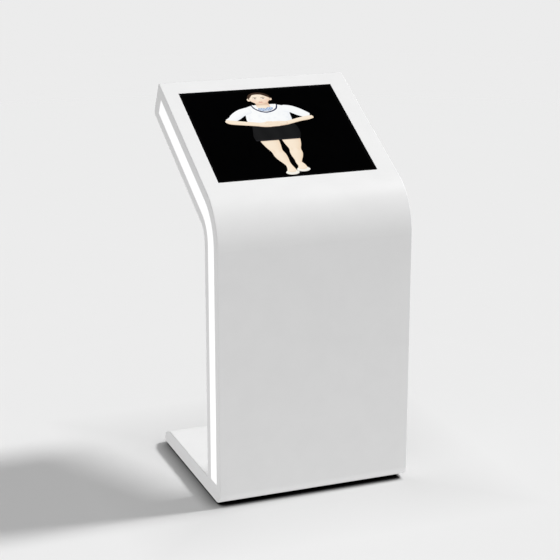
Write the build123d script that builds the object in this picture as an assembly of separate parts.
from build123d import *
from math import cos, pi, radians, sin, sqrt, tan
import os

# A free-standing touchscreen kiosk: a sloping head on a flat column, on a foot that runs back
# along the floor. All sizes are in millimetres. The origin is on the floor under the middle of
# the whole object, X runs across it, the user stands on the -Y side, and Z is up.

# Overall form
WIDTH = 550.0
SLAB = 104.0  # thickness of the column and of the head
LEAN = radians(28.5)  # slope of the head above level
KNEE_HEIGHT = 800.5  # where the front and the head's top would meet, above the underside
HEAD_LENGTH = 557.0  # from that line up to the head's end
BASE_LENGTH = 500.0
BASE_HEIGHT = 46.0
FOOT_HEIGHT = 5.0
SKIN = 2.0  # sheet steel of the shell, the door and the covers

# Bends and softened edges
BEND = 160.0  # outer radius between the column and the head
TIP_RADIUS = 4.0  # head's upper end
TAIL_RADIUS = 13.0  # head's lower end
TOE_RADIUS = 36.0  # under the column's front
HEEL_SLOPE = 46.0  # length over which the base's top falls towards its rear end
HEEL_DROP = 18.0
HEEL_SLOPE_RADIUS = 60.0  # where the slope starts
HEEL_RADIUS = 20.0  # top of the base's rear end
HEEL_LOWER_RADIUS = 14.0
WELD_RADIUS = 4.0  # between the column's rear and the base
SIDE_RADIUS = 3.0  # along the side faces

DEPTH = HEAD_LENGTH * cos(LEAN) + SLAB * sin(LEAN) - TAIL_RADIUS * (cos(LEAN) + sin(LEAN) - 1)
FRONT = -DEPTH / 2  # the column's front face
REAR = FRONT + SLAB  # the column's rear face
UNDERSIDE = FOOT_HEIGHT
BASE_TOP = UNDERSIDE + BASE_HEIGHT
KNEE = UNDERSIDE + KNEE_HEIGHT
BEND_LOW = KNEE - BEND * tan(pi / 4 - LEAN / 2)  # height where the column starts to bend

# On the head, x runs across, y up the slope from the knee, and z out of the head's top.
HEAD = Plane(origin=(0, FRONT, KNEE), x_dir=(1, 0, 0), z_dir=(0, -sin(LEAN), cos(LEAN))).location

# Clearances
FIT = 0.05  # round a turning or pressed-in piece
STEP = 1.0  # how far a cut runs past the surface it starts from

# Screen, from the top down
SCREEN_MIDDLE = HEAD * Pos(-5.5, 0, 0)  # the opening sits a little left of the kiosk's middle
SCREEN_HALF = 226.5  # half of the opening across
SCREEN = (127.0, 505.0)  # the opening, up the head
GLASS_GAP = 0.5
GLASS = 4.0
SEAL = 2.0
LEDGE_MARGIN = 6.0  # width of the frame's ledge under the glass
FRAME_MARGIN = 18.0  # how far the glass frame reaches under the skin
FRAME_TOP = -SKIN
FRAME_BACK = FRAME_TOP - 6.0
PANEL_TOP = -GLASS - 0.3
HOUSING_TOP = FRAME_BACK - 0.2
HOUSING_BACK = HOUSING_TOP - 15.8
HOUSING_FLOOR = 5.0

# Light strips, centred in the slab on both sides
STRIP_WIDTH = 47.0
STRIP_NEAR = (SLAB - STRIP_WIDTH) / 2
STRIP_FAR = (SLAB + STRIP_WIDTH) / 2
STRIP_LOW = BASE_TOP + 5.0
STRIP_END = HEAD_LENGTH - 38.5
INNER_SIDE = WIDTH / 2 - SKIN
CHANNEL_BACK = WIDTH / 2 - 18.0
CHANNEL_SHEET = 2.0
CHANNEL_FLOOR = CHANNEL_BACK + CHANNEL_SHEET
TAPE = 1.2
CHIP_PITCH = 25.0

# Frame plates beside the opening parts
RIB = 3.0
RIB_FACE = WIDTH / 2 - 23.0  # inner face
RIB_EDGE = 26.0  # metal left beside each window
COLUMN_BRIDGES = [315.0, 515.0]  # heights of the metal between the column's windows
BARS = [200.0, 455.0]  # ways up the head of the bars that carry the display
BRIDGE_HALF = 15.0
BAR_DEPTH = 14.0
BAR_SHEET = 2.0
BAR_BACK = HOUSING_BACK - BAR_DEPTH

# Base
PLATE = 8.0
PLATE_TOP = UNDERSIDE + PLATE
PLATE_HALF = 244.0
PLATE_Y = (FRONT + 41.0, FRONT + 477.0)
RAILS = [FRONT + 60.0 + step * 130.0 for step in range(4)]
RAIL_WIDTH = 24.0
RAIL_HEIGHT = 30.0
RAIL_SHEET = 3.0
BASE_SCREW_X = 200.0
ANCHOR_X = 150.0  # floor anchor holes, reached through the door
ANCHOR_Y = FRONT + 88.0
ANCHOR_RADIUS = 6.0
FOOT_X = 226.0
FOOT_Y = [FRONT + 80.0, FRONT + 455.0]
FOOT_RADIUS = 16.0
FOOT_SEAT = 2.0

# Rear door
DOOR_HALF = 235.0  # half of the opening
DOOR_LOW = BASE_TOP + 70.0
DOOR_HIGH = BEND_LOW - 24.0
DOOR_GAP = 2.0
DOOR_RETURN = 12.0  # depth of the door's turned edges
COLLAR_DEPTH = 16.0
COLLAR = 3.0
LIP = 12.0
HINGE_X = -DOOR_HALF + DOOR_GAP + 14.0
HINGE_Y = REAR - 6.5
PIN_RADIUS = 3.0
BUSH_RADIUS = 4.4

# Door lock, a turning cam lock
LOCK_X = DOOR_HALF - 24.0
LOCK_Z = (DOOR_LOW + DOOR_HIGH) / 2
LOCK_RADIUS = 9.5
LOCK_BACK = -18.0  # rear end of the barrel, from the door's face
PLUG_RADIUS = 6.0
CAM_LENGTH = 21.0
CAM_HALF = 6.5
CAM = 2.5

# Cover under the head, with the fan and the speakers on it
COVER = (130.0, 520.0)  # the opening, up the head
COVER_LEDGE = 14.0
FAN_ALONG = 420.0
FAN_SIZE = 80.0
FAN = 25.0
FAN_SCREW = 35.75
SPEAKER_X = 175.0
SPEAKER_ALONG = 230.0

# Electronics
BOARD_ALONG = 310.0
BOARD_TOP = HOUSING_BACK - 5.0
BOARD = 1.6
PLUG_DEPTH = 42.5  # of the cables along the head, under its top
PLUG_X = 68.0
PLUG_HALF = 7.0
PLUG_BACK = -46.0
TOUCH_ALONG = 160.0
TOUCH_DEPTH = 35.0
TRAY_Y = FRONT + 22.0  # equipment plate
TRAY_FACE = TRAY_Y + SKIN
TRAY_Z = (200.0, 640.0)
TRAY_EDGE = 18.0
SUPPLY_X = (-210.0, -10.0)
SUPPLY_Z = (232.0, 330.0)
SUPPLY_FACE = TRAY_FACE + 40.0
DRIVER_X = (30.0, 190.0)
DRIVER_Z = (240.0, 282.0)
PLAYER_X = (-50.0, 150.0)
PLAYER_Z = (410.0, 570.0)
PLAYER_FACE = TRAY_FACE + 38.0
BUTTON_X = 125.0
BUTTON_Z = 545.0
BUTTON_RADIUS = 6.0
CASE = 5.0  # walls of the two larger cases
CASE_FRONT = 12.0

# Mains inlet, on the shell's rear below the door
INLET_X = -150.0
INLET_Z = (BASE_TOP + DOOR_LOW) / 2
INLET_DEPTH = 30.0
ROCKER_X = INLET_X + 17.0
ROCKER_TILT = 8.0  # degrees each way from level


# Building blocks


def block(x, y, z):
    """A box between two limits on each axis."""
    (x0, x1), (y0, y1), (z0, z1) = x, y, z
    middle = Pos((x0 + x1) / 2, (y0 + y1) / 2, (z0 + z1) / 2)
    return middle * Box(x1 - x0, y1 - y0, z1 - z0)


def wide_block(half, y, z):
    """A box centred across."""
    return block((-half, half), y, z)


def widened(limits, margin):
    return limits[0] - margin, limits[1] + margin


def disc(place, radius, low, high):
    """A cylinder on a place's z axis, between two heights."""
    return place * Pos(0, 0, (low + high) / 2) * Cylinder(radius, high - low)


def facing(point, direction):
    """A place at a point, with z along a direction."""
    return Plane(origin=point, z_dir=direction).location


def behind(x, z, y=REAR):
    """A place that looks backwards, with its y up: the way the door's face looks."""
    return Plane(origin=(x, y, z), x_dir=(-1, 0, 0), z_dir=(0, 1, 0)).location


def under_head(x, along):
    """A place on the head's underside that looks out of it."""
    return HEAD * Pos(x, along, -SLAB) * Rot(180, 0, 0)


def on_cover(x, along):
    """A place on the inner face of the head's cover that looks into the head."""
    return HEAD * Pos(x, along, -SLAB + SKIN)


def outline(corners):
    """A closed (y, z) face from its corners, each given with the radius that rounds it."""
    face = make_face(Polyline(*[(y, z) for y, z, _ in corners], close=True))
    for y, z, radius in corners:
        if radius:
            face = fillet(face.vertices().sort_by_distance((y, z, 0))[0], radius)
    return face


def on_head(depth, along):
    """The (y, z) of a point on the head, by its depth under the top and its way up the slope."""
    y = FRONT + along * cos(LEAN) + depth * sin(LEAN)
    z = KNEE + along * sin(LEAN) - depth * cos(LEAN)
    return y, z


def knee(depth):
    """The (y, z) where the column's and the head's planes at this depth would meet."""
    return FRONT + depth, KNEE - depth * tan(pi / 4 - LEAN / 2)


def band(near, far, low, end):
    """A face that follows the slab between two depths, from a height to a way up the head."""
    return outline(
        [
            (FRONT + near, low, 0),
            (*knee(near), BEND - near),
            (*on_head(near, end), 0),
            (*on_head(far, end), 0),
            (*knee(far), BEND - far),
            (FRONT + far, low, 0),
        ]
    )


def across(face, half_width):
    """A (y, z) face pushed out to both sides of the middle."""
    return extrude(Plane.YZ * face, half_width, both=True)


def sheet(face, x0, x1):
    """A (y, z) face given thickness between two places across."""
    return Pos(x0, 0, 0) * extrude(Plane.YZ * face, x1 - x0)


def both_sides(part):
    return [part, mirror(part, Plane.YZ)]


def slots(place, width, pitch, columns, rows):
    """A field of round-ended slots, cut along the place's z."""
    slot = extrude(SlotOverall(width, 4), 2 * SKIN, both=True)
    return [place * spot * slot for spot in GridLocations(width + 12, pitch, columns, rows)]


# Fasteners. A screw's place is the surface it enters, and its z points out.


def flat_screw(place, radius, length):
    """A countersunk screw whose head is flush."""
    head = Pos(0, 0, -radius / 2) * Cone(radius, 2 * radius, radius)
    shank = Pos(0, 0, -length / 2) * Cylinder(radius, length)
    return place * (head + shank - hex_socket(radius, -0.8 * radius))


def flat_hole(place, radius, length):
    """The space for a countersunk screw."""
    wide = radius + 2 * FIT
    head = Pos(0, 0, FIT - wide / 2) * Cone(wide, 2 * wide, wide)
    return place * head + disc(place, wide, -length - STEP, STEP)


def cap_screw(place, radius, length):
    """A socket head screw whose head stands on the surface."""
    height = 1.6 * radius
    head = Pos(0, 0, height / 2) * Cylinder(1.7 * radius, height)
    shank = Pos(0, 0, -length / 2) * Cylinder(radius, length)
    return place * (head + shank - hex_socket(radius, 0.7 * radius))


def hex_socket(radius, bottom):
    return Pos(0, 0, bottom) * extrude(RegularPolygon(0.95 * radius, 6), radius)


def hex_nut(place, radius, height):
    """A nut that stands on the surface, bored just clear of its screw."""
    body = place * extrude(RegularPolygon(1.9 * radius, 6), height)
    return body - disc(place, radius + FIT, -STEP, height + STEP)


# Shell


def shell_profile():
    """The side view of the whole shell."""
    base_end = FRONT + BASE_LENGTH
    return outline(
        [
            (FRONT, UNDERSIDE, TOE_RADIUS),
            (FRONT, KNEE, BEND),
            (*on_head(0, HEAD_LENGTH), TIP_RADIUS),
            (*on_head(SLAB, HEAD_LENGTH), TAIL_RADIUS),
            (*knee(SLAB), BEND - SLAB),
            (REAR, BASE_TOP, WELD_RADIUS),
            (base_end - HEEL_SLOPE, BASE_TOP, HEEL_SLOPE_RADIUS),
            (base_end, BASE_TOP - HEEL_DROP, HEEL_RADIUS),
            (base_end, UNDERSIDE, HEEL_LOWER_RADIUS),
        ]
    )


def door_surround():
    """The collar turned in around the door opening, with a lip for the door to close against."""
    deep = (REAR - SKIN - COLLAR_DEPTH, REAR - SKIN)
    opening = (DOOR_LOW, DOOR_HIGH)
    surround = wide_block(DOOR_HALF + COLLAR, deep, widened(opening, COLLAR))
    surround -= wide_block(DOOR_HALF, deep, opening)
    surround += block((DOOR_HALF - LIP, DOOR_HALF), (deep[0], deep[0] + SKIN), opening)
    for place in hinge_places():
        surround -= disc(place, BUSH_RADIUS + FIT, -STEP, COLLAR + STEP)
    return surround


def hinge_places():
    """Places on the opening's upper and lower edges, looking into the collar."""
    top = facing((HINGE_X, HINGE_Y, DOOR_HIGH), (0, 0, 1))
    bottom = facing((HINGE_X, HINGE_Y, DOOR_LOW), (0, 0, -1))
    return [top, bottom]


def cover_ledge():
    """The flange inside the head's underside that the rear cover is screwed to."""
    z = (-SLAB + SKIN, -SLAB + 2 * SKIN)
    ledge = wide_block(DOOR_HALF + 8, widened(COVER, 8), z)
    return HEAD * (ledge - wide_block(DOOR_HALF - COVER_LEDGE, widened(COVER, -COVER_LEDGE), z))


def cover_screw_places():
    """The cover's screws, along the middle of its ledge."""
    inset = COVER_LEDGE / 2
    low, high = widened(COVER, -inset)
    spots = [(side * (DOOR_HALF - inset), y) for side in (-1, 1) for y in (low, (low + high) / 2, high)]
    spots += [(0, low), (0, high)]
    return [under_head(x, along) for x, along in spots]


def main_shell():
    """One welded and painted sheet body, hollow, with an opening for each part that comes out."""
    profile = shell_profile()
    body = across(profile, WIDTH / 2)
    ends = body.faces().sort_by(Axis.X)
    body = fillet(ends[0].edges() + ends[-1].edges(), SIDE_RADIUS)
    body -= across(offset(profile, amount=-SKIN), INNER_SIDE)

    body -= SCREEN_MIDDLE * wide_block(SCREEN_HALF, SCREEN, (-2 * SKIN, SKIN))
    body -= HEAD * wide_block(DOOR_HALF, COVER, (-SLAB - SKIN, -SLAB + 2 * SKIN))
    body -= wide_block(DOOR_HALF, (REAR - 2 * SKIN, REAR + SKIN), (DOOR_LOW, DOOR_HIGH))
    body -= wide_block(PLATE_HALF + STEP, widened(PLATE_Y, STEP), (0, UNDERSIDE + 2 * SKIN))
    body -= across(band(STRIP_NEAR, STRIP_FAR, STRIP_LOW, STRIP_END), WIDTH)
    inlet_x, inlet_z = widened((INLET_X, INLET_X), 24), widened((INLET_Z, INLET_Z), 14)
    body -= block(inlet_x, (REAR - 2 * SKIN, REAR + SKIN), inlet_z)
    for place in inlet_screw_places():
        body -= disc(place, 1.5 + FIT, -2 * SKIN, STEP)

    body += door_surround()
    body += cover_ledge()
    for place in cover_screw_places():
        body -= disc(place, 2 + FIT, -3 * SKIN, STEP)
    return body


# Inner frame


def rib():
    """A frame plate, cut from sheet to the shell's inner outline and lightened by windows."""
    plate = sheet(offset(shell_profile(), amount=-SKIN - 0.5), RIB_FACE, RIB_FACE + RIB)
    cut = (RIB_FACE - STEP, RIB_FACE + RIB + STEP)
    near, far = RIB_EDGE, SLAB - RIB_EDGE
    low, high = COLUMN_BRIDGES
    for bottom, top in window_spans(BASE_TOP + 30, low, high, BEND_LOW - 10):
        corners = [(near, bottom), (near, top), (far, top), (far, bottom)]
        plate -= sheet(outline([(FRONT + depth, z, 8) for depth, z in corners]), *cut)
    for start, end in window_spans(150, *BARS, HEAD_LENGTH - 32):
        corners = [(near, start), (near, end), (far, end), (far, start)]
        plate -= sheet(outline([(*on_head(*corner), 8) for corner in corners]), *cut)
    for place in bar_screw_places() + tray_screw_places():
        plate -= disc(place, 2.5 + FIT, -BAR_SHEET - RIB - STEP, 0)
    return plate


def window_spans(start, first, second, end):
    """The three stretches between a start, two bridges and an end."""
    half = BRIDGE_HALF
    return [(start, first - half), (first + half, second - half), (second + half, end)]


def base_screw_places():
    return [facing((side * BASE_SCREW_X, y, UNDERSIDE), (0, 0, -1)) for side in (-1, 1) for y in RAILS]


def foot_places():
    return [facing((side * FOOT_X, y, UNDERSIDE), (0, 0, -1)) for side in (-1, 1) for y in FOOT_Y]


def base_bottom_plate():
    """The heavy plate that closes the base from below and keeps the kiosk steady."""
    plate = wide_block(PLATE_HALF, PLATE_Y, (UNDERSIDE, PLATE_TOP))
    for place in base_screw_places():
        plate -= flat_hole(place, 4, PLATE)
    for side in (-1, 1):
        anchor = facing((side * ANCHOR_X, ANCHOR_Y, UNDERSIDE), (0, 0, 1))
        plate -= disc(anchor, ANCHOR_RADIUS, -STEP, PLATE + STEP)
    for place in foot_places():
        plate -= disc(place, 1.5 + FIT, -PLATE + STEP, STEP)
    return plate


def base_rails():
    """Channels across the base, between the ribs, that the bottom plate bolts to."""
    rails = []
    z = (PLATE_TOP, PLATE_TOP + RAIL_HEIGHT)
    for y in RAILS:
        outer = widened((y, y), RAIL_WIDTH / 2)
        rail = wide_block(RIB_FACE, outer, z)
        rail -= wide_block(RIB_FACE, widened(outer, -RAIL_SHEET), (z[0] + RAIL_SHEET, z[1]))
        for side in (-1, 1):
            hole = facing((side * BASE_SCREW_X, y, PLATE_TOP), (0, 0, 1))
            rail -= disc(hole, 4 + 2 * FIT, -STEP, RAIL_SHEET + STEP)
        rails.append(rail)
    return rails


def base_screws():
    return [flat_screw(place, 4, PLATE + RAIL_SHEET + 8) for place in base_screw_places()]


def base_nuts():
    nuts = []
    for side in (-1, 1):
        for y in RAILS:
            place = facing((side * BASE_SCREW_X, y, PLATE_TOP + RAIL_SHEET), (0, 0, 1))
            nuts.append(hex_nut(place, 4, 6.5))
    return nuts


def rubber_feet():
    """Low round feet, each with a sunk seat for its screw."""
    feet = []
    for place in foot_places():
        foot = place * Pos(0, 0, FOOT_HEIGHT / 2) * Cone(FOOT_RADIUS, FOOT_RADIUS - 1.5, FOOT_HEIGHT)
        foot -= disc(place, 1.5 + 2 * FIT, -STEP, FOOT_HEIGHT + STEP)
        feet.append(foot - disc(place, 4, FOOT_SEAT, FOOT_HEIGHT + STEP))
    return feet


def foot_screws():
    return [cap_screw(place * Pos(0, 0, FOOT_SEAT), 1.5, 8) for place in foot_places()]


# Rear door and its lock


def rear_door():
    """A shallow sheet tray that closes flush with the column's rear, vented low and high."""
    half = DOOR_HALF - DOOR_GAP
    z = widened((DOOR_LOW, DOOR_HIGH), -DOOR_GAP)
    door = wide_block(half, (REAR - DOOR_RETURN, REAR), z)
    door = fillet(door.edges().filter_by(Axis.Y), 1.5)
    door -= wide_block(half - SKIN, (REAR - DOOR_RETURN, REAR - SKIN), widened(z, -SKIN))
    for height in widened(z, -70):
        door -= slots(behind(0, height), 70, 12, 4, 5)
    door -= disc(behind(LOCK_X, LOCK_Z), LOCK_RADIUS + FIT, -SKIN - STEP, STEP)
    for place in hinge_places():
        door -= disc(place, PIN_RADIUS, -DOOR_GAP - SKIN - STEP, 0)
    return door


def hinge_pins():
    """Upright pins, fixed in the door's top and bottom edges, that turn in the collar's bushes."""
    pins = []
    inner = -DOOR_GAP - SKIN
    for place in hinge_places():
        pin = disc(place, PIN_RADIUS, inner - 6, COLLAR + 3)
        pin = chamfer(pin.edges().filter_by(GeomType.CIRCLE), 0.6)
        pins.append(pin + disc(place, BUSH_RADIUS, inner - 3, inner))
    return pins


def hinge_bushes():
    """Flanged nylon bushes in the collar; the lower one carries the door."""
    bushes = []
    for place in hinge_places():
        bush = disc(place, BUSH_RADIUS, -FIT, COLLAR) + disc(place, BUSH_RADIUS + 1.5, FIT - DOOR_GAP, 0)
        bushes.append(bush - disc(place, PIN_RADIUS + FIT, -DOOR_GAP, COLLAR + STEP))
    return bushes


def door_gasket():
    """A foam strip on the lip that the door closes against."""
    x = widened((DOOR_HALF - LIP, DOOR_HALF), -1)
    y = (REAR - COLLAR_DEPTH, REAR - DOOR_RETURN - 0.4)
    return block(x, y, widened((DOOR_LOW, DOOR_HIGH), -6))


def lock_body():
    """The barrel: a rimmed sleeve through the door."""
    place = behind(LOCK_X, LOCK_Z)
    rim = fillet(disc(place, LOCK_RADIUS + 2.5, 0, 2).faces().sort_by(Axis.Y)[-1].edges(), 0.8)
    body = disc(place, LOCK_RADIUS, LOCK_BACK, 0) + rim
    return body - disc(place, PLUG_RADIUS + FIT, LOCK_BACK - STEP, 3)


def lock_nut():
    return hex_nut(behind(LOCK_X, LOCK_Z, REAR - SKIN) * Rot(180, 0, 0), LOCK_RADIUS, 5)


def lock_plug():
    """The part that the key turns, with its key slot."""
    place = behind(LOCK_X, LOCK_Z)
    plug = disc(place, PLUG_RADIUS, LOCK_BACK - 0.5, 1.6)
    plug -= place * extrude(SlotOverall(8, 1.6), 4, both=True)
    return plug - disc(place, 2 + FIT, LOCK_BACK - STEP, LOCK_BACK + 6)


def lock_cam():
    """The tongue, hanging down when unlocked; a quarter turn puts it behind the collar's lip."""
    reach = Pos(0, -CAM_LENGTH / 2) * Rot(0, 0, 90) * SlotOverall(CAM_LENGTH + 2 * CAM_HALF, 2 * CAM_HALF)
    low = LOCK_BACK - 0.5 - CAM
    cam = behind(LOCK_X, LOCK_Z) * Pos(0, 0, low) * extrude(reach, CAM)
    return cam - disc(behind(LOCK_X, LOCK_Z), 2 + FIT, low - STEP, low + CAM + STEP)


def lock_cam_screw():
    return cap_screw(behind(LOCK_X, LOCK_Z) * Pos(0, 0, LOCK_BACK - 0.5 - CAM) * Rot(180, 0, 0), 2, 7)


# Cover under the head, fan and speakers


def fan_screw_places():
    corners = [(x, y) for x in (-FAN_SCREW, FAN_SCREW) for y in (-FAN_SCREW, FAN_SCREW)]
    return [under_head(x, FAN_ALONG + y) for x, y in corners]


def speaker_places():
    return [on_cover(side * SPEAKER_X, SPEAKER_ALONG) for side in (-1, 1)]


def head_rear_cover():
    """The sheet that closes the head's underside, slotted for the fan and the speakers."""
    cover = HEAD * wide_block(DOOR_HALF - 1, widened(COVER, -1), (-SLAB, -SLAB + SKIN))
    for place in cover_screw_places() + fan_screw_places():
        cover -= flat_hole(place, 2, SKIN)
    for row in range(-3, 4):
        width = 2 * sqrt(37**2 - (10 * row) ** 2)
        cover -= slots(on_cover(0, FAN_ALONG + 10 * row), width, 10, 1, 1)
    for place in speaker_places():
        cover -= slots(place, 40, 9, 1, 5)
    return cover


def cover_screws():
    return [flat_screw(place, 2, 7) for place in cover_screw_places()]


def fan_frame():
    """The fan's square housing, with a hub on three struts and a plain bearing."""
    place = on_cover(0, FAN_ALONG)
    strut_z = (FAN - 4, FAN)
    frame = place * extrude(RectangleRounded(FAN_SIZE, FAN_SIZE, 5), FAN)
    frame -= disc(place, 38, -STEP, FAN + STEP)
    frame += disc(place, 13, *strut_z)
    for turn in (30, 150, 270):
        frame += place * Rot(0, 0, turn) * block((8, 39), (-2.5, 2.5), strut_z)
    frame -= disc(place, 2 + FIT, FAN - 5, FAN + STEP)
    for screw in fan_screw_places():
        frame -= disc(screw, 2 + FIT, -FAN - 2 * SKIN, 0)
    return frame


def fan_rotor():
    """The hub with seven pitched blades, on its shaft."""
    place = on_cover(0, FAN_ALONG)
    low, high = 3.0, FAN - 5
    rotor = disc(place, 14, low, high)
    blade = Pos(24.5, 0, (low + high) / 2) * Rot(40, 0, 0) * Box(23, 17, 1.4)
    for step in range(7):
        rotor += place * Rot(0, 0, step * 360 / 7) * blade
    return rotor + disc(place, 2, high - STEP, FAN - 0.5)


def fan_screws():
    return [flat_screw(place, 2, 22) for place in fan_screw_places()]


def speaker_baskets():
    """Square-flanged baskets, open at the front."""
    baskets = []
    for place in speaker_places():
        basket = place * extrude(RectangleRounded(56, 56, 6), 3)
        basket += place * Pos(0, 0, 8) * Cone(26, 18, 10)
        basket -= disc(place, 24, -STEP, 3)
        baskets.append(basket - place * Pos(0, 0, 8.5) * Cone(24, 15.5, 11))
    return baskets


def speaker_cones():
    """Paper cones on soft rims, each with the tube of its coil."""
    cones = []
    for place in speaker_places():
        cone = place * Pos(0, 0, 5.5) * Cone(22, 10, 7) - place * Pos(0, 0, 4.7) * Cone(22, 10, 7)
        rim = disc(place, 24, 2, 2.8) - disc(place, 21, 1, 3)
        tube = disc(place, 9, 7.5, 12.5) - disc(place, 8, 7, 13)
        cones.append(cone + rim + tube)
    return cones


def speaker_magnets():
    return [disc(place, 17, 13, 24) for place in speaker_places()]


# Display


def screen_block(margin, z):
    """A slab as large as the screen opening, less a margin all round."""
    return SCREEN_MIDDLE * wide_block(SCREEN_HALF - margin, widened(SCREEN, -margin), z)


def touch_glass():
    glass = wide_block(SCREEN_HALF - GLASS_GAP, widened(SCREEN, -GLASS_GAP), (-GLASS, 0))
    return SCREEN_MIDDLE * chamfer(glass.faces().sort_by(Axis.Z)[-1].edges(), 0.4)


def glass_seal():
    """A soft black strip between the glass and its frame."""
    z = (-GLASS - SEAL, -GLASS)
    return screen_block(GLASS_GAP, z) - screen_block(LEDGE_MARGIN, z)


def glass_frame():
    """The ring under the shell's skin that carries the glass on a ledge."""
    z = (FRAME_BACK, FRAME_TOP)
    frame = screen_block(-FRAME_MARGIN, z) - screen_block(0.2, (-GLASS - SEAL, FRAME_TOP))
    return frame - screen_block(LEDGE_MARGIN, z)


def lcd_panel():
    """The display panel, close under the glass."""
    return screen_block(LEDGE_MARGIN + 1, (HOUSING_TOP, PANEL_TOP))


def lcd_screw_places():
    """Screws inside the bars' hollow, through the web that lies on the housing."""
    spots = [(side * 100, along) for side in (-1, 1) for along in BARS]
    return [SCREEN_MIDDLE * Pos(x, y, HOUSING_BACK - BAR_SHEET) * Rot(180, 0, 0) for x, y in spots]


def lcd_housing():
    """The display's metal back, a tray open to the panel, with grooves pressed into it."""
    floor = HOUSING_BACK + HOUSING_FLOOR
    body = wide_block(SCREEN_HALF - 2, widened(SCREEN, -2), (HOUSING_BACK, HOUSING_TOP))
    body = fillet(body.edges().filter_by(Axis.Z), 4)
    body -= wide_block(SCREEN_HALF - 4, widened(SCREEN, -4), (floor, HOUSING_TOP))
    for x in (-170, -110, 110, 170):
        body -= block(widened((x, x), 4), (235, 420), (HOUSING_BACK, HOUSING_BACK + 2))
    body = SCREEN_MIDDLE * body
    for place in lcd_screw_places():
        body -= disc(place, 2 + FIT, -BAR_SHEET - HOUSING_FLOOR + 0.5, 0)
    return body


def light_guide():
    """The clear sheet that spreads the backlight under the panel."""
    top = HOUSING_TOP - 1.0
    return screen_block(LEDGE_MARGIN, (top - 4.0, top))


def lcd_screws():
    return [cap_screw(place, 2, BAR_SHEET + HOUSING_FLOOR - 1) for place in lcd_screw_places()]


def display_bars():
    """Channels across the head, open to the rear, with a tab at each end against the ribs."""
    z = (BAR_BACK, HOUSING_BACK)
    bars = []
    for along in BARS:
        y = widened((along, along), BRIDGE_HALF)
        bar = wide_block(RIB_FACE, y, z)
        bar -= wide_block(RIB_FACE - BAR_SHEET, widened(y, -BAR_SHEET), (z[0], z[1] - BAR_SHEET))
        bar = HEAD * bar
        for place in lcd_screw_places():
            bar -= disc(place, 2 + FIT, -BAR_SHEET - STEP, STEP)
        for place in bar_screw_places():
            bar -= disc(place, 2.5 + FIT, -BAR_SHEET - STEP, STEP)
        bars.append(bar)
    return bars


def bar_screw_places():
    """Screws through the bars' end tabs into the ribs, placed on the tabs' inner faces."""
    depth = (BAR_BACK + HOUSING_BACK - BAR_SHEET) / 2
    places = []
    for side in (-1, 1):
        for along in BARS:
            spot = Pos(side * (RIB_FACE - BAR_SHEET), along, depth)
            places.append(HEAD * spot * Rot(0, -90 * side, 0))
    return places


def bar_screws():
    return [cap_screw(place, 2.5, BAR_SHEET + RIB) for place in bar_screw_places()]


def board(half_x, half_y, along, lumps):
    """A circuit board on four posts behind the display. A lump is x, y, half size and height."""
    back = BOARD_TOP - BOARD
    y = widened((along, along), half_y)
    plate = wide_block(half_x, y, (back, BOARD_TOP))
    for post_x in (-half_x + 5, half_x - 5):
        for post_y in widened(y, -5):
            plate += Pos(post_x, post_y, (HOUSING_BACK + BOARD_TOP) / 2) * Cylinder(2.5, 5)
    for x, dy, half, height in lumps:
        lump = (widened((x, x), half), widened((along + dy, along + dy), half))
        plate += block(*lump, (back - height, BOARD_TOP))
    return HEAD * plate


def display_board():
    """Driver board for the panel, with its plugs and chips."""
    tall = BOARD_TOP - BOARD - PLUG_BACK
    plugs = [(-PLUG_X, 0, PLUG_HALF, tall), (PLUG_X, 0, PLUG_HALF, tall), (0, 28, PLUG_HALF, tall)]
    chips = [(-25, -10, 14, 3), (22, -14, 9, 2.5), (10, 10, 6, 2)]
    return board(PLUG_X + PLUG_HALF, 45, BOARD_ALONG, plugs + chips)


def touch_controller():
    """Small board for the touch sensor, with its plug."""
    return board(36, 17, TOUCH_ALONG, [(20, 0, PLUG_HALF, 9), (-10, 0, PLUG_HALF, 2.5)])


# Light strips


def diffuser():
    """Opal cover, flush in the side's slot, with a wider step behind the skin."""
    face = band(STRIP_NEAR + 0.2, STRIP_FAR - 0.2, STRIP_LOW + 0.2, STRIP_END - 0.2)
    step = band(STRIP_NEAR - 1.5, STRIP_FAR + 1.5, STRIP_LOW - 1.5, STRIP_END + 1.5)
    seat = INNER_SIDE - 0.1
    return sheet(face, seat, WIDTH / 2) + sheet(step, seat - 3, seat)


def led_channel():
    """Aluminium trough behind the slot."""
    margin = 4.0
    wall = margin - CHANNEL_SHEET
    outer = band(STRIP_NEAR - margin, STRIP_FAR + margin, STRIP_LOW - margin, STRIP_END + margin)
    inner = band(STRIP_NEAR - wall, STRIP_FAR + wall, STRIP_LOW - wall, STRIP_END + wall)
    return sheet(outer, CHANNEL_BACK, INNER_SIDE) - sheet(inner, CHANNEL_FLOOR, INNER_SIDE)


def led_tapes():
    middle = SLAB / 2
    tape = band(middle - 6, middle + 6, STRIP_LOW + 4, STRIP_END - 4)
    return both_sides(sheet(tape, CHANNEL_FLOOR, CHANNEL_FLOOR + TAPE))


def led_chips():
    """A row of square chips along the middle of each tape."""
    middle = SLAB / 2
    ends = (FRONT + middle, STRIP_LOW + 16), on_head(middle, STRIP_END - 16)
    path = Plane.YZ * FilletPolyline(ends[0], knee(middle), ends[1], radius=BEND - middle)
    count = int(path.length / CHIP_PITCH) + 1
    chips = []
    for step in range(count):
        way = step / (count - 1)
        place = Plane(origin=path @ way, x_dir=path % way, z_dir=(1, 0, 0))
        chip = Pos(0, 0, CHANNEL_FLOOR + TAPE + 0.7) * Box(5, 5, 1.4)
        chips += both_sides(place * chip)
    return chips


# Electronics in the column


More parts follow.
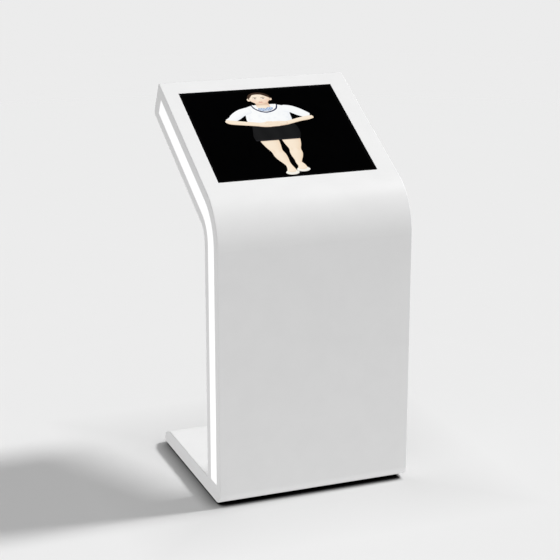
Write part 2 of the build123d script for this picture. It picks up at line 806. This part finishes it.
def equipment_plate():
    """The sheet across the column that carries the electronics, with turned edges."""
    y = (TRAY_Y, TRAY_Y + TRAY_EDGE)
    plate = wide_block(RIB_FACE, y, TRAY_Z)
    plate -= wide_block(RIB_FACE - SKIN, (TRAY_FACE, y[1]), TRAY_Z)
    for place in tray_screw_places():
        plate -= disc(place, 2.5 + FIT, -SKIN - STEP, STEP)
    return plate


def tray_screw_places():
    """Screws through the plate's turned edges into the ribs."""
    spots = [(side, z) for side in (-1, 1) for z in COLUMN_BRIDGES]
    return [facing((side * (RIB_FACE - SKIN), TRAY_Y + 11, z), (-side, 0, 0)) for side, z in spots]


def tray_screws():
    return [cap_screw(place, 2.5, SKIN + RIB) for place in tray_screw_places()]


def hollow(x, y, z):
    """The space inside a case that is open to the equipment plate."""
    return block(widened(x, -CASE), (y[0], y[1] - CASE_FRONT), widened(z, -CASE))


def power_supply():
    """A ventilated metal case."""
    limits = SUPPLY_X, (TRAY_FACE, SUPPLY_FACE), SUPPLY_Z
    case = fillet(block(*limits).edges().filter_by(Axis.Y), 3) - hollow(*limits)
    middle = behind(sum(SUPPLY_X) / 2, sum(SUPPLY_Z) / 2, SUPPLY_FACE)
    return case - slots(middle, 12, 11, 7, 6)


def led_driver():
    body = block(DRIVER_X, (TRAY_FACE, TRAY_FACE + 30), DRIVER_Z)
    body = fillet(body.edges().filter_by(Axis.Y), 4)
    return chamfer(body.faces().sort_by(Axis.Y)[-1].edges(), 1.5)


def button_place():
    return behind(BUTTON_X, BUTTON_Z, PLAYER_FACE)


def media_player():
    """The small computer, with grooves on its cover and a well for its switch."""
    limits = PLAYER_X, (TRAY_FACE, PLAYER_FACE), PLAYER_Z
    body = fillet(block(*limits).edges().filter_by(Axis.Y), 6) - hollow(*limits)
    for column in range(9):
        x = PLAYER_X[0] + 20 + column * 14
        body -= block((x, x + 5), (PLAYER_FACE - 4, PLAYER_FACE), widened(PLAYER_Z, -22))
    return body - disc(button_place(), BUTTON_RADIUS + 0.2, -6, STEP)


def media_player_button():
    """The player's on switch, standing out of its well."""
    cap = disc(button_place(), BUTTON_RADIUS, -4, 1.5)
    return fillet(cap.faces().sort_by(Axis.Y)[-1].edges(), 0.6)


# Mains inlet


def inlet_screw_places():
    return [behind(INLET_X + side * 30, INLET_Z) for side in (-1, 1)]


def rocker_place():
    """The rocker's axle: x looks backwards, y up, and z runs across."""
    return Plane(origin=(ROCKER_X, REAR, INLET_Z), x_dir=(0, 1, 0), z_dir=(1, 0, 0)).location


def inlet_body():
    """The moulded inlet: a recess for the plug, and a window with the switch in it."""
    middle_z, back = (INLET_Z, INLET_Z), REAR - INLET_DEPTH
    body = block(widened((INLET_X, INLET_X), 36), (REAR, REAR + 2.5), widened(middle_z, 16))
    body = fillet(body.edges().filter_by(Axis.Y), 5)
    body += block(widened((INLET_X, INLET_X), 23.5), (back, REAR + 1), widened(middle_z, 13.5))
    recess = block((INLET_X - 20.5, INLET_X + 4.5), (REAR - 18, REAR + 3), widened(middle_z, 9))
    body -= chamfer(recess.edges().filter_by(Axis.Y).group_by(Axis.Z)[-1], 4)
    body -= block(widened((ROCKER_X, ROCKER_X), 5), (REAR - 16, REAR + 3), widened(middle_z, 10))
    body -= disc(rocker_place(), 1.5 + FIT, -6, 6)
    for place in inlet_screw_places():
        body -= flat_hole(place * Pos(0, 0, 2.5), 1.5, 3)
    return body


def inlet_pins():
    """Three flat contacts in the recess."""
    pins = []
    for dx, dz in [(-7, -2), (0, 3), (7, -2)]:
        x, z = INLET_X - 8 + dx, INLET_Z + dz
        pins.append(block((x - 1, x + 1), (REAR - 18, REAR - 2), (z - 2, z + 2)))
    return pins


def inlet_screws():
    return [flat_screw(place * Pos(0, 0, 2.5), 1.5, 8) for place in inlet_screw_places()]


def power_rocker():
    """The switch, tilted to its off side; its two faces meet over the axle."""
    half, rise = 9.0, 3.2
    crest = rise + half * tan(radians(ROCKER_TILT))
    corners = [(-6, 2 - half), (crest, -half), (rise, 0), (crest, half), (-6, half - 2)]
    face = Rot(0, 0, ROCKER_TILT) * make_face(Polyline(*corners, close=True))
    rocker = extrude(face, 4.8, both=True)
    rocker = fillet(rocker.edges().filter_by(Axis.Z), 0.8)
    return rocker_place() * (rocker + Cylinder(1.5, 11.2))


# Cables


def cable(radius, bend, *points):
    """A round cable through points, with rounded turns."""
    path = FilletPolyline(*points, radius=bend)
    return sweep(Plane(origin=path @ 0, z_dir=path % 0) * Circle(radius), path)


def mains_cable():
    y = TRAY_FACE + 22
    start = (INLET_X, REAR - INLET_DEPTH, INLET_Z)
    return cable(4, 15, start, (INLET_X, y, INLET_Z), (INLET_X, y, SUPPLY_Z[0]))


def led_leads():
    """A lead from the driver to the trough on each side, through the ribs' windows."""
    leads = []
    for x, end, depth, z in [(160, CHANNEL_BACK, 20, 190), (60, -CHANNEL_BACK, 10, 170)]:
        y = TRAY_FACE + depth
        leads.append(cable(2, 10, (x, y, DRIVER_Z[0]), (x, y, z), (end, y, z)))
    return leads


def up_the_head(x, start_z, depth, end, radius):
    """A cable at one depth, up the column, round the bend and up the head."""
    points = (x, FRONT + depth, start_z), (x, *knee(depth)), (x, *on_head(depth, end))
    return cable(radius, BEND - depth, *points)


def display_power_cable():
    return up_the_head(-PLUG_X, SUPPLY_Z[1], PLUG_DEPTH, BOARD_ALONG - PLUG_HALF, 3)


def video_cable():
    return up_the_head(PLUG_X, PLAYER_Z[1], PLUG_DEPTH, BOARD_ALONG - PLUG_HALF, 3)


def touch_cable():
    return up_the_head(20, PLAYER_Z[1], TOUCH_DEPTH, TOUCH_ALONG - PLUG_HALF, 2)


def speaker_leads():
    """From each speaker's magnet across to the side of the board's plug."""
    magnet_top = SLAB - SKIN - 24
    lead = cable(
        1.5,
        8,
        (SPEAKER_X, *on_head(magnet_top, SPEAKER_ALONG)),
        (SPEAKER_X, *on_head(PLUG_DEPTH, SPEAKER_ALONG)),
        (SPEAKER_X, *on_head(PLUG_DEPTH, BOARD_ALONG)),
        (PLUG_X + PLUG_HALF, *on_head(PLUG_DEPTH, BOARD_ALONG)),
    )
    return both_sides(lead)


def fan_lead():
    """From the board's upper plug to the side of the fan."""
    plug_end = BOARD_ALONG + 28 + PLUG_HALF
    fan_side = FAN_ALONG - FAN_SIZE / 2
    turn = (plug_end + fan_side) / 2
    fan_depth = SLAB - SKIN - FAN / 2
    points = [(PLUG_DEPTH, plug_end), (PLUG_DEPTH, turn), (fan_depth, turn), (fan_depth, fan_side)]
    return cable(1.5, 6, *[(0, *on_head(depth, along)) for depth, along in points])


PARTS = {
    "main_shell": main_shell,
    "rib_right": rib,
    "rib_left": lambda: mirror(rib(), Plane.YZ),
    "base_bottom_plate": base_bottom_plate,
    "base_rails": base_rails,
    "base_screws": base_screws,
    "base_nuts": base_nuts,
    "rubber_feet": rubber_feet,
    "foot_screws": foot_screws,
    "rear_door": rear_door,
    "hinge_pins": hinge_pins,
    "hinge_bushes": hinge_bushes,
    "door_gasket": door_gasket,
    "lock_body": lock_body,
    "lock_nut": lock_nut,
    "lock_plug": lock_plug,
    "lock_cam": lock_cam,
    "lock_cam_screw": lock_cam_screw,
    "head_rear_cover": head_rear_cover,
    "cover_screws": cover_screws,
    "fan_frame": fan_frame,
    "fan_rotor": fan_rotor,
    "fan_screws": fan_screws,
    "speaker_baskets": speaker_baskets,
    "speaker_cones": speaker_cones,
    "speaker_magnets": speaker_magnets,
    "touch_glass": touch_glass,
    "glass_seal": glass_seal,
    "glass_frame": glass_frame,
    "lcd_panel": lcd_panel,
    "lcd_housing": lcd_housing,
    "light_guide": light_guide,
    "lcd_screws": lcd_screws,
    "display_bars": display_bars,
    "bar_screws": bar_screws,
    "display_board": display_board,
    "touch_controller": touch_controller,
    "diffuser_right": diffuser,
    "diffuser_left": lambda: mirror(diffuser(), Plane.YZ),
    "led_channel_right": led_channel,
    "led_channel_left": lambda: mirror(led_channel(), Plane.YZ),
    "led_tapes": led_tapes,
    "led_chips": led_chips,
    "equipment_plate": equipment_plate,
    "tray_screws": tray_screws,
    "power_supply": power_supply,
    "led_driver": led_driver,
    "media_player": media_player,
    "media_player_button": media_player_button,
    "inlet_body": inlet_body,
    "inlet_pins": inlet_pins,
    "inlet_screws": inlet_screws,
    "power_rocker": power_rocker,
    "mains_cable": mains_cable,
    "led_leads": led_leads,
    "display_power_cable": display_power_cable,
    "video_cable": video_cable,
    "touch_cable": touch_cable,
    "speaker_leads": speaker_leads,
    "fan_lead": fan_lead,
}


def main():
    os.makedirs("parts", exist_ok=True)
    for name, make in PARTS.items():
        made = make()
        shape = Compound(children=made) if isinstance(made, list) else made
        export_step(shape, f"parts/{name}.step")


main()
